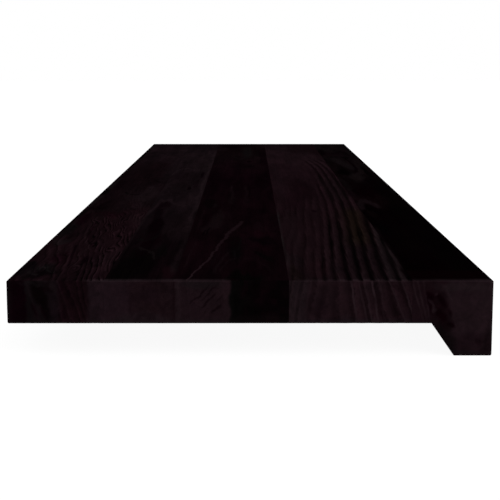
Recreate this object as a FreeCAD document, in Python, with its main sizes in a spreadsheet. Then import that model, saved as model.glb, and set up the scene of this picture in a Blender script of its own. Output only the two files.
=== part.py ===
import FreeCAD, Part
import os

import Sketcher

# Solid wood stair tread with a dropped nosing, edge-glued from five full-length staves.
# Frame: +X runs from the back edge to the nosing, +Y along the step, +Z up, in millimetres.
# The origin is under the middle of the tread, level with the bottom of the nosing.

SIZES = [
    ("tread_length", 1200.0, "step length, end to end"),
    ("slab_thickness", 27.0, "thickness of the flat board"),
    ("nosing_height", 47.5, "full height of the front face"),
    ("lip_width", 23.5, "flat under the nosing, back from the front face"),
    ("slope_run", 14.0, "how far the nosing's slanted back leans under the board"),
    ("back_stave_width", 60.0, "stave at the back edge"),
    ("back_inner_width", 43.5, "second stave from the back"),
    ("middle_width", 70.5, "middle stave"),
    ("front_inner_width", 76.0, "stave behind the nosing stave"),
    ("nosing_stave_width", 50.0, "front stave, which carries the nosing"),
    ("arris_radius", 1.0, "rounding of every exposed edge"),
]

# The staves from the back edge to the front: label, and the cell that holds the width.
STAVES = [
    ("back_stave", "back_stave_width"),
    ("back_inner_stave", "back_inner_width"),
    ("middle_stave", "middle_width"),
    ("front_inner_stave", "front_inner_width"),
    ("nosing_stave", "nosing_stave_width"),
]

SHEET = "Sizes"
START, END = 1, 2
ORIGIN_POINT = (-1, 1)
Y_AXIS_LINE = -2
ON_PLANE = 1e-6


def make_sheet(doc):
    """Puts the driving sizes in a spreadsheet: name, value and meaning on each row."""
    sheet = doc.addObject("Spreadsheet::Sheet", SHEET)
    for row, (name, value, meaning) in enumerate(SIZES, start=1):
        sheet.set(f"A{row}", name)
        sheet.set(f"B{row}", str(value))
        sheet.set(f"C{row}", meaning)
        sheet.setAlias(f"B{row}", name)
    doc.recompute()
    return sheet


def cell(name):
    """The expression that reads one size from the sheet."""
    return f"{SHEET}.{name}"


def mm(name):
    """The same, as a length in millimetres."""
    return f"{cell(name)} * 1 mm"


def total(names):
    """The expression for the sum of several sizes, in millimetres."""
    return "(" + " + ".join([cell(name) for name in names]) + ") * 1 mm" if names else "0 mm"


def stave_position(index):
    """The expression for a stave's back face, from the widths behind it and the whole depth."""
    widths = [width for _, width in STAVES]
    return f"{total(widths[:index])} - {total(widths)} / 2"


def origin_plane(body, role):
    """One of the body's own origin planes."""
    return next(feature for feature in body.Origin.OriginFeatures if feature.Role == role)


def new_profile(body, name):
    """A sketch of the cross-section: its x is the frame's X and its y the frame's Z."""
    sketch = body.newObject("Sketcher::SketchObject", name)
    sketch.AttachmentSupport = [(origin_plane(body, "XZ_Plane"), "")]
    sketch.MapMode = "FlatFace"
    return sketch


def draw_loop(sketch, corners):
    """Draws the closed outline through the corners. Line i runs from corner i to the next."""
    points = [FreeCAD.Vector(x, y, 0) for x, y in corners]
    for start, end in zip(points, points[1:] + points[:1]):
        sketch.addGeometry(Part.LineSegment(start, end), False)
    count = len(points)
    for line in range(count):
        sketch.addConstraint(
            Sketcher.Constraint("Coincident", line, END, (line + 1) % count, START)
        )


def dimension(sketch, kind, name, first, second, value, expression):
    """Adds a named distance between two points of the sketch and binds it to the sheet."""
    index = sketch.addConstraint(Sketcher.Constraint(kind, *first, *second, value))
    sketch.renameConstraint(index, name)
    sketch.setExpression(f"Constraints.{name}", expression)


def board_profile(body, width_name, width, thickness):
    """A plain stave's section: a rectangle from the glue face behind it to the one in front."""
    sketch = new_profile(body, "BoardSection")
    draw_loop(sketch, [(0, 0), (width, 0), (width, thickness), (0, thickness)])
    bottom, front, top, back = range(4)
    for line in (bottom, top):
        sketch.addConstraint(Sketcher.Constraint("Horizontal", line))
    for line in (front, back):
        sketch.addConstraint(Sketcher.Constraint("Vertical", line))
    sketch.addConstraint(Sketcher.Constraint("Coincident", bottom, START, *ORIGIN_POINT))
    dimension(sketch, "DistanceX", "width", (bottom, START), (bottom, END), width, mm(width_name))
    dimension(
        sketch, "DistanceY", "thickness", (front, START), (front, END), thickness, mm("slab_thickness")
    )
    return sketch


def nosing_profile(body, width_name, width, thickness, height, lip, run):
    """The front stave's section: a board with the dropped lip, slanted on its hidden side."""
    sketch = new_profile(body, "NosingSection")
    drop = height - thickness
    draw_loop(
        sketch,
        [
            (0, drop),
            (width - lip - run, drop),
            (width - lip, 0),
            (width, 0),
            (width, height),
            (0, height),
        ],
    )
    underside, slope, lip_bottom, front, top, glue_face = range(6)
    for line in (underside, lip_bottom, top):
        sketch.addConstraint(Sketcher.Constraint("Horizontal", line))
    for line in (front, glue_face):
        sketch.addConstraint(Sketcher.Constraint("Vertical", line))
    sketch.addConstraint(Sketcher.Constraint("PointOnObject", underside, START, Y_AXIS_LINE))
    dimension(
        sketch, "DistanceX", "width", ORIGIN_POINT, (lip_bottom, END), width, mm(width_name)
    )
    sketch.addConstraint(
        Sketcher.Constraint("DistanceY", *ORIGIN_POINT, lip_bottom, END, 0.0)
    )
    dimension(
        sketch, "DistanceX", "lip", (lip_bottom, START), (lip_bottom, END), lip, mm("lip_width")
    )
    dimension(sketch, "DistanceX", "run", (slope, START), (slope, END), run, mm("slope_run"))
    dimension(
        sketch, "DistanceY", "height", (front, START), (front, END), height, mm("nosing_height")
    )
    dimension(
        sketch,
        "DistanceY",
        "thickness",
        (glue_face, END),
        (glue_face, START),
        thickness,
        mm("slab_thickness"),
    )
    return sketch


def pad_along_step(body, sketch):
    """Gives the section the step's full length, half to each side of the middle."""
    pad = body.newObject("PartDesign::Pad", "Length")
    pad.Profile = sketch
    pad.Midplane = True
    pad.setExpression("Length", mm("tread_length"))
    sketch.Visibility = False
    return pad


def exposed_edges(shape, glue_faces_x, inner_corner):
    """Names of the edges to round: all but those in a glue face and the nosing's inner corner."""

    def in_glue_face(edge):
        return any(
            all(abs(vertex.X - x) < ON_PLANE for vertex in edge.Vertexes) for x in glue_faces_x
        )

    def at_inner_corner(edge):
        if inner_corner is None:
            return False
        x, z = inner_corner
        return all(
            abs(vertex.X - x) < ON_PLANE and abs(vertex.Z - z) < ON_PLANE
            for vertex in edge.Vertexes
        )

    return [
        f"Edge{number}"
        for number, edge in enumerate(shape.Edges, start=1)
        if not in_glue_face(edge) and not at_inner_corner(edge)
    ]


def round_arrises(body, pad, glue_faces_x, inner_corner=None):
    """Rounds the exposed edges, so that the staves run flush across their joints."""
    fillet = body.newObject("PartDesign::Fillet", "EasedEdges")
    fillet.Base = (pad, exposed_edges(pad.Shape, glue_faces_x, inner_corner))
    fillet.setExpression("Radius", mm("arris_radius"))
    pad.Visibility = False
    return fillet


def add_stave(doc, sheet, index):
    """Builds one stave as a body of its own, in its place between its neighbours."""
    label, width_name = STAVES[index]
    width = sheet.get(width_name)
    thickness = sheet.get("slab_thickness")
    height = sheet.get("nosing_height")
    carries_nosing = label == "nosing_stave"
    body = doc.addObject("PartDesign::Body", label)
    body.Label = label
    inner_corner = None
    if carries_nosing:
        lip = sheet.get("lip_width")
        run = sheet.get("slope_run")
        sketch = nosing_profile(body, width_name, width, thickness, height, lip, run)
        inner_corner = (width - lip - run, height - thickness)
    else:
        sketch = board_profile(body, width_name, width, thickness)
    pad = pad_along_step(body, sketch)
    doc.recompute()
    glue_faces_x = []
    if index > 0:
        glue_faces_x.append(0.0)
    if index < len(STAVES) - 1:
        glue_faces_x.append(width)
    round_arrises(body, pad, glue_faces_x, inner_corner)
    body.setExpression("Placement.Base.x", stave_position(index))
    if not carries_nosing:
        drop = f"({cell('nosing_height')} - {cell('slab_thickness')}) * 1 mm"
        body.setExpression("Placement.Base.z", drop)
    return body


def check(doc, bodies):
    """Stops if anything in the document failed or a stave isn't one good solid."""
    for item in doc.Objects:
        if "Invalid" in item.State or "Error" in item.State:
            raise RuntimeError(f"{item.Label} failed: {item.State}")
    for body in bodies:
        shape = body.Shape
        if shape.isNull() or not shape.isValid() or len(shape.Solids) != 1:
            raise RuntimeError(f"{body.Label} isn't one valid solid")


def main():
    doc = FreeCAD.newDocument("StairTread")
    sheet = make_sheet(doc)
    bodies = [add_stave(doc, sheet, index) for index in range(len(STAVES))]
    doc.recompute()
    check(doc, bodies)
    os.makedirs("parts", exist_ok=True)
    for body in bodies:
        body.Shape.exportStep(f"parts/{body.Label}.step")
        box = body.Shape.BoundBox
        print(
            f"{body.Label}: x {box.XMin:.2f} to {box.XMax:.2f}, y {box.YMin:.1f} to {box.YMax:.1f}, "
            f"z {box.ZMin:.2f} to {box.ZMax:.2f}, volume {body.Shape.Volume:.0f}"
        )


main()
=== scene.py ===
import itertools
import math

import bpy
import numpy as np
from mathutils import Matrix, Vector


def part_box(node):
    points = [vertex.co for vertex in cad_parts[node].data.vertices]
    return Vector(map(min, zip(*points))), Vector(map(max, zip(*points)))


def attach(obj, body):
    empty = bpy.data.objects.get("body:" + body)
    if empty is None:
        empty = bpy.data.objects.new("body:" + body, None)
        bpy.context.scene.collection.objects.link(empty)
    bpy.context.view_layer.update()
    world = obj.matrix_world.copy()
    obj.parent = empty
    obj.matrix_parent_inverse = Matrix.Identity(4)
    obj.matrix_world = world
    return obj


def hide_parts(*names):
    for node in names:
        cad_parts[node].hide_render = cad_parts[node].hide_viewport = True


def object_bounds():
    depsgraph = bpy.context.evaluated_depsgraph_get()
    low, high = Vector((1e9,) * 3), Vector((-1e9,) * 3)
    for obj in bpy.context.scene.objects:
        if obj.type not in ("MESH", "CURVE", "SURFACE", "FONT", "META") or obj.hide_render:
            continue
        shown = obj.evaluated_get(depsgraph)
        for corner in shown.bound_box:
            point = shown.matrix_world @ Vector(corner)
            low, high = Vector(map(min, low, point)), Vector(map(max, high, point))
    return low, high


# Solid wood stair tread with a dropped nosing: five edge-glued staves under a near-black plum stain.
# +X runs from the back edge to the nosing, +Y along the step, +Z up. Sizes here are in millimetres.
# Each stave is a closed mesh with eased edges. Its growth rings, stain and wear, and the highlights
# and shade painted along its arrises and ring ridges, are worked out for every point of its surface,
# and the nodes of its material draw the fine grain from them.

MM = 0.001
ARRIS = 1
LIP_WIDTH = 23.5
SLOPE_RUN = 14
# The mesh's steps: across the tread, up it, and along it near its ends and in the middle.
CROSS_STEP = 0.8
RISE_STEP = 0.9
END_STEP = 3.3
MIDDLE_STEP = 6.5
SHARP_ANGLE = math.radians(40)
TINY = 1e-9
# Large odd numbers that scatter the noise's cells, and the 32 bits that they are kept to.
SCATTER_LOW, SCATTER_HIGH = 0x2C1B3C6D, 0x297A2D39
AXIS_FACTOR, CELL_FACTOR, SEED_FACTOR = 73856093, 19349663, 7919
BITS = 0xFFFFFFFF

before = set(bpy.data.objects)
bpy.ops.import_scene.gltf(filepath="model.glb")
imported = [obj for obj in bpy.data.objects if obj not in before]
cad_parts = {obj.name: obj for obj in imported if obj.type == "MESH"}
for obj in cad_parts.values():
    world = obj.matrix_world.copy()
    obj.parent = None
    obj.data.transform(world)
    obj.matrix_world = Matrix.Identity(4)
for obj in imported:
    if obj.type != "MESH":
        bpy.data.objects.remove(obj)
cad_low, cad_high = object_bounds()
HALF_LENGTH = cad_high.y / MM
HALF_WIDTH = cad_high.x / MM
TOP = cad_high.z / MM


def smooth(t):
    """Eases t from 0 to 1 and holds it there outside that range."""
    t = np.clip(t, 0, 1)
    return t * t * (3 - 2 * t)


def rise(a, start, run):
    """Eases from 0 where a is at the start to 1 a run farther on, or lower if run is negative."""
    return smooth((a - start) / run)


def hashed(key):
    """A fixed number from 0 to 1 for each whole number."""
    key = (key ^ (key >> 15)) * SCATTER_LOW & BITS
    key = (key ^ (key >> 12)) * SCATTER_HIGH & BITS
    return ((key ^ (key >> 15)) & 0xFFFF) / 65535


def noise(seed, *axes):
    """Smooth noise from -1 to 1. Each axis is a pair: the places, and the size of one swing."""
    cells, parts = [], []
    for places, size in axes:
        at = places / size + 17.37 * seed
        cell = np.floor(at)
        cells.append(cell.astype(np.int64))
        parts.append(smooth(at - cell))
    total = 0
    for corner in itertools.product((0, 1), repeat=len(axes)):
        weight = 1
        key = np.full(cells[0].shape, seed * SEED_FACTOR + 101, np.int64)
        for cell, part, side in zip(cells, parts, corner):
            weight = weight * (part if side else 1 - part)
            key = (key * AXIS_FACTOR ^ (cell + side) * CELL_FACTOR) & BITS
        total = total + weight * hashed(key)
    return 2 * total - 1


def blended(base, colour, mask):
    """A base colour with another laid over it as far as the mask says."""
    return base + (np.array(colour) - base) * mask[:, None]


def shaded(places, stops):
    """The colours at places along a row of stops: pairs of a place and a colour."""
    at, colours = zip(*stops)
    return np.stack([np.interp(places, at, levels) for levels in zip(*colours)], 1)


def graded(low, high, step, ease_low, ease_high):
    """Grid places from low to high, closer together where an edge is rounded."""
    start = low + ARRIS * ease_low
    stop = high - ARRIS * ease_high
    count = max(2, round((stop - start) / step))
    near_edge = [0, ARRIS / 3, ARRIS * 2 / 3]
    places = list(np.linspace(start, stop, count + 1))
    if ease_low:
        places = [low + e for e in near_edge] + places
    if ease_high:
        places += [high - e for e in reversed(near_edge)]
    return np.array(places)


class Board:
    """The section of a plain stave: a grid of places, its wooden cells and its rounding core."""

    def __init__(self, low, high):
        self.back_open = low.x < cad_low.x + MM
        self.x0, self.x1 = low.x / MM, high.x / MM
        self.z0, self.z1 = low.z / MM, high.z / MM
        xs = graded(self.x0, self.x1, CROSS_STEP, self.back_open, False)
        zs = graded(self.z0, self.z1, RISE_STEP, True, True)
        self.x, self.z = np.meshgrid(xs, zs, indexing="ij")
        self.cells = np.ones((len(xs) - 1, len(zs) - 1), bool)

    def core(self, x, z):
        """The nearest place that lies an arris radius inside the exposed faces."""
        low = self.x0 + ARRIS * self.back_open
        return np.clip(x, low, self.x1), np.clip(z, self.z0 + ARRIS, self.z1 - ARRIS)


class Nosing:
    """The section of the front stave: the board, and the lip under it with a slanted back."""

    def __init__(self, low, high, board_bottom):
        self.x0, self.x1, self.z1 = low.x / MM, high.x / MM, high.z / MM
        self.drop = board_bottom
        self.lip = self.x1 - LIP_WIDTH
        self.corner = self.lip - SLOPE_RUN
        behind = graded(self.x0, self.corner, CROSS_STEP, False, False)
        ahead = graded(self.corner, self.x1, CROSS_STEP, True, True)
        below = graded(0, self.drop, RISE_STEP, True, False)
        above = graded(self.drop, self.z1, RISE_STEP, True, True)
        xs = np.concatenate([behind[:-1], ahead])
        zs = np.concatenate([below[:-1], above])
        self.x, self.z = np.meshgrid(xs, zs, indexing="ij")
        left = self.lip - SLOPE_RUN * np.clip(self.z / self.drop, 0, 1)
        share = (self.x - self.corner) / (self.x1 - self.corner)
        in_lip = (self.z < self.drop) & (share >= 0)
        self.x = np.where(in_lip, left + share * (self.x1 - left), self.x)
        self.cells = np.ones((len(xs) - 1, len(zs) - 1), bool)
        self.cells[: len(behind) - 1, : len(below) - 1] = False

    def core(self, x, z):
        """The nearest place that lies an arris radius inside the exposed faces."""
        slant = math.hypot(SLOPE_RUN, self.drop)
        across, up = self.drop / slant, SLOPE_RUN / slant
        inset = ARRIS * (1 - up) / across
        front, top, under = self.x1 - ARRIS, self.z1 - ARRIS, self.drop + ARRIS
        corners = [
            (self.x0, under), (self.corner + inset, under), (self.lip + inset, ARRIS),
            (front, ARRIS), (front, top), (self.x0, top),
        ]
        past_slope = across * (x - self.corner) + up * (z - self.drop)
        inside = (x <= front) & (z <= top) & (z >= ARRIS)
        inside &= (z >= under) | (past_slope >= ARRIS)
        best_x, best_z = x.copy(), z.copy()
        best = np.where(inside, 0, np.inf)
        for (ax, az), (bx, bz) in zip(corners, corners[1:] + corners[:1]):
            run, climb = bx - ax, bz - az
            t = np.clip(((x - ax) * run + (z - az) * climb) / (run**2 + climb**2), 0, 1)
            cx, cz = ax + t * run, az + t * climb
            gap = np.hypot(x - cx, z - cz)
            nearer = gap < best
            best = np.where(nearer, gap, best)
            best_x = np.where(nearer, cx, best_x)
            best_z = np.where(nearer, cz, best_z)
        return best_x, best_z


def length_places():
    """Grid places along the step, closer together in the quarters next to the two ends."""
    quarter = HALF_LENGTH / 2
    near = graded(-HALF_LENGTH, -quarter, END_STEP, True, False)
    middle = np.linspace(-quarter, quarter, round(2 * quarter / MIDDLE_STEP) + 1)[1:-1]
    return np.concatenate([near, middle, -near[::-1]])


def section_outline(cells):
    """The grid edges round the wooden cells, each as a pair of nodes with the wood on its left."""
    edges = []
    padded = np.pad(cells, 1)
    for i, k in zip(*np.nonzero(cells)):
        if not padded[i + 1, k]:
            edges.append(((i, k), (i + 1, k)))
        if not padded[i + 2, k + 1]:
            edges.append(((i + 1, k), (i + 1, k + 1)))
        if not padded[i + 1, k + 2]:
            edges.append(((i + 1, k + 1), (i, k + 1)))
        if not padded[i, k + 1]:
            edges.append(((i, k + 1), (i, k)))
    return edges


def stave_mesh(section):
    """The vertices, normals and faces of a stave: its section run along the step."""
    ys = length_places()
    outline = section_outline(section.cells)
    rim = {node: number for number, node in enumerate(dict.fromkeys(a for a, _ in outline))}
    used = np.zeros(section.x.shape, bool)
    for i, k in zip(*np.nonzero(section.cells)):
        used[i : i + 2, k : k + 2] = True
    inner = [node for node in zip(*(n.tolist() for n in np.nonzero(used))) if node not in rim]
    loops, rim_count = len(ys), len(rim)
    near_id = dict(rim)
    far_id = {node: number + (loops - 1) * rim_count for node, number in rim.items()}
    for number, node in enumerate(inner, start=loops * rim_count):
        near_id[node] = number
        far_id[node] = number + len(inner)
    at_rim, at_inner = [tuple(np.array(list(nodes)).T) for nodes in (rim, inner)]
    x, z = [
        np.concatenate([np.tile(grid[at_rim], loops), grid[at_inner], grid[at_inner]])
        for grid in (section.x, section.z)
    ]
    ends = np.repeat([ys[0], ys[-1]], len(inner))
    y = np.concatenate([np.repeat(ys, rim_count), ends])
    faces = []
    for j in range(loops - 1):
        here, there = j * rim_count, (j + 1) * rim_count
        faces += [(rim[a] + here, rim[a] + there, rim[b] + there, rim[b] + here) for a, b in outline]
    for i, k in zip(*(n.tolist() for n in np.nonzero(section.cells))):
        ring = [(i, k), (i + 1, k), (i + 1, k + 1), (i, k + 1)]
        faces.append(tuple(near_id[n] for n in ring))
        faces.append(tuple(far_id[n] for n in reversed(ring)))
    points = np.stack([x, y, z], 1)
    core_x, core_z = section.core(x, z)
    core_y = np.clip(y, ys[0] + ARRIS, ys[-1] - ARRIS)
    away = points - np.stack([core_x, core_y, core_z], 1)
    far = np.maximum(np.linalg.norm(away, axis=1), TINY)
    pull = np.minimum(1, ARRIS / far)
    points = points - away * (1 - pull)[:, None]
    exposed = far > ARRIS * 0.999
    normals = np.where(exposed[:, None], away / far[:, None], 0)
    return points, normals, faces


# The camera sees the step's length so short that it looks like this many millimetres.
LOOKED_LENGTH = 216
# How far the growth rings lean for each millimetre down, at places across the tread.
LEAN_PLACES = [-150, -122, -104, -90, 24, 45, 60, 80, 100, 150]
LEANS = [0.42, 0.42, 0.3, 0.12, -0.12, -0.15, 0.13, 0.28, 0.36, 0.3]
# The distance to a pale line where none is near.
NO_VEIN = 9.0


class Wood:
    """The surface points of one stave, and what is laid on them: stain, rings and relief.

    v is the share of the length from the near end, and t is where the ring through a point meets the
    top. wt, wv, wx and wz are shaken places, which give patches uneven edges. face and butt are the
    colours of the long faces and of the ends, as display values from 0 to 255. line says how
    strongly a ring shows, vein how far the nearest pale line is, and vein_on how pale it is.
    """

    def __init__(self, points, normals):
        self.x, self.y, self.z = points.T
        self.v = (self.y + HALF_LENGTH) / (2 * HALF_LENGTH)
        self.depth = TOP - self.z
        self.height = self.z - self.z.min()
        self.end = smooth(np.abs(normals[:, 1]) * 1.6 - 0.3)
        self.end_arris = 4 * normals[:, 1] ** 2 * normals[:, 2] ** 2
        # Rings lean as they go down, so the same lines run over the arris and down the end.
        self.t = self.x - np.interp(self.x, LEAN_PLACES, LEANS) * self.depth
        self.wt = self.t + 1.7 * self.noise(3, 15, 85, 20) + 0.9 * self.noise(4, 5, 26, 9)
        self.wv = self.v + 0.022 * self.top_noise(5, 13, 60) + 0.008 * self.top_noise(6, 3.5, 22)
        broad_x, broad_z = [noise(seed, (self.x, 8), (self.z, 8)) for seed in (7, 8)]
        fine_x, fine_z = [noise(seed, (self.x, 3), (self.z, 3)) for seed in (9, 10)]
        self.wx = self.x + 0.8 * broad_x + 0.6 * fine_x
        self.wz = self.z + 0.9 * broad_z + 0.7 * fine_z
        self.face = self.butt = np.zeros((len(self.x), 3))
        self.ring = self.line = self.vein_on = np.zeros(len(self.x))
        self.vein = np.full(len(self.x), NO_VEIN)

    def noise(self, seed, across, along, down):
        """Noise in the solid wood, with swings of so many millimetres."""
        return noise(seed, (self.t, across), (self.y, along), (self.z, down))

    def top_noise(self, seed, across, along):
        """Noise that doesn't change on the way down."""
        return noise(seed, (self.t, across), (self.y, along))

    def end_noise(self, seed, wide, high):
        """Noise on the end, with shaken edges."""
        return noise(seed, (self.wx, wide), (self.wz, high))

    def along(self, *stops):
        """The top's colour along the step: pairs of a share of the length and a colour."""
        self.face = shaded(self.wv, stops)

    def dab(self, colour, at, size, amount=0.6, edge=0.4):
        """An oval dab of colour on the top, at (millimetres across, share of the length)."""
        r = np.hypot((self.wt - at[0]) / size[0], (self.wv - at[1]) / size[1])
        self.wash(colour, amount * smooth((1 + edge - r) / (2 * edge)))

    def wash(self, colour, mask):
        """Blends a colour into the long faces as far as the mask says."""
        self.face = blended(self.face, colour, mask)

    def clouds(self, seed, across, along, amount):
        """Uneven stain on the top, in flecks of about so many millimetres."""
        broad = noise(seed, (self.wt, across), (self.y, along), (self.z, across))
        fine = noise(seed + 1, (self.wt, across * 0.4), (self.y, along * 0.35), (self.z, across * 0.4))
        self.face *= np.exp(amount * np.clip(2.2 * broad + 1.1 * fine, -1.4, 1.4))[:, None]

    def stroke(self, colour, width, amount, *places):
        """A curving stroke on the top through places: (millimetres across, share of the length)."""
        away = np.full(len(self.x), np.inf)
        for (x0, v0), (x1, v1) in zip(places, places[1:]):
            run, climb = x1 - x0, (v1 - v0) * LOOKED_LENGTH
            dx, dv = self.wt - x0, (self.wv - v0) * LOOKED_LENGTH
            part = np.clip((dx * run + dv * climb) / (run * run + climb * climb), 0, 1)
            away = np.minimum(away, np.hypot(dx - part * run, dv - part * climb))
        self.wash(colour, amount * smooth(1.5 - away / width))

    def across_end(self, *stops):
        """The end's colour from back to front: pairs of millimetres across and a colour."""
        self.butt = shaded(self.wx, stops)

    def blot(self, colour, at, size, amount=0.6, turn=0, edge=0.4):
        """An oval blot of colour on the end, at (millimetres across, height), turned in degrees."""
        dx, dz = self.wx - at[0], self.wz - at[1]
        c, s = math.cos(math.radians(turn)), math.sin(math.radians(turn))
        r = np.hypot((c * dx + s * dz) / size[0], (c * dz - s * dx) / size[1])
        self.wash_end(colour, amount * smooth((1 + edge - r) / (2 * edge)))

    def wash_end(self, colour, mask):
        """Blends a colour into the ends as far as the mask says."""
        self.butt = blended(self.butt, colour, mask)

    def end_clouds(self, seed, size, amount):
        """Uneven stain on the end."""
        broad = self.end_noise(seed, size, size)
        fine = self.end_noise(seed + 1, size * 0.4, size * 0.6)
        self.butt *= np.exp(amount * np.clip(2 * broad + 1.2 * fine, -1.4, 1.4))[:, None]

    def end_veins(self, *veins):
        """Thin pale lines down the end: where each starts at the top, its lean and its strength."""
        nearest = np.full(len(self.x), np.inf)
        uneven = self.end * (1 + 0.7 * noise(73, (self.x, 5), (self.z, 7)))
        for number, (place, lean, strength) in enumerate(veins):
            away = 0.5 * (self.x + self.wx) - place - lean * self.depth
            gap = np.abs(away)
            closer = gap < nearest
            nearest = np.where(closer, gap, nearest)
            # The sides alternate, so that the distance stays continuous from line to line.
            signed = away if number % 2 else -away
            self.vein = np.where(closer, signed, self.vein)
            self.vein_on = np.where(closer, strength * uneven, self.vein_on)

    def set_line(self, on_face, on_end):
        """How strongly the rings show, on the long faces and on the ends."""
        self.line = np.clip(on_face + (on_end - on_face) * self.end, 0, 1)


def band(a, low, high, soft):
    """1 where a lies from low to high, fading to 0 over a soft margin inside them."""
    return rise(a, low, soft) * rise(a, high, -soft)


def eyes(w, seed, count, places, shares, size):
    """Little knots: bumps in the rings, which turn their lines round in small ovals."""
    spots = hashed(seed * 977 + 31 * np.arange(2 * count, dtype=np.int64)).reshape(2, count)
    bumps = np.zeros(len(w.t))
    for across, share in zip(*spots):
        dx = w.t - (places[0] + (places[1] - places[0]) * across)
        dy = (w.v - (shares[0] + (shares[1] - shares[0]) * share)) * 2 * HALF_LENGTH
        bumps += np.exp(-((dx / size[0]) ** 2) - (dy / size[1]) ** 2)
    return bumps


def curls(w, seed, spacing, across, along, swirl):
    """Growth rings that wander so far that they close in loops."""
    broad = w.noise(seed, across, along, across)
    fine = w.noise(seed + 1, across * 0.42, along * 0.4, across * 0.42)
    return w.t / spacing + swirl * (broad + 0.4 * fine)


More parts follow.
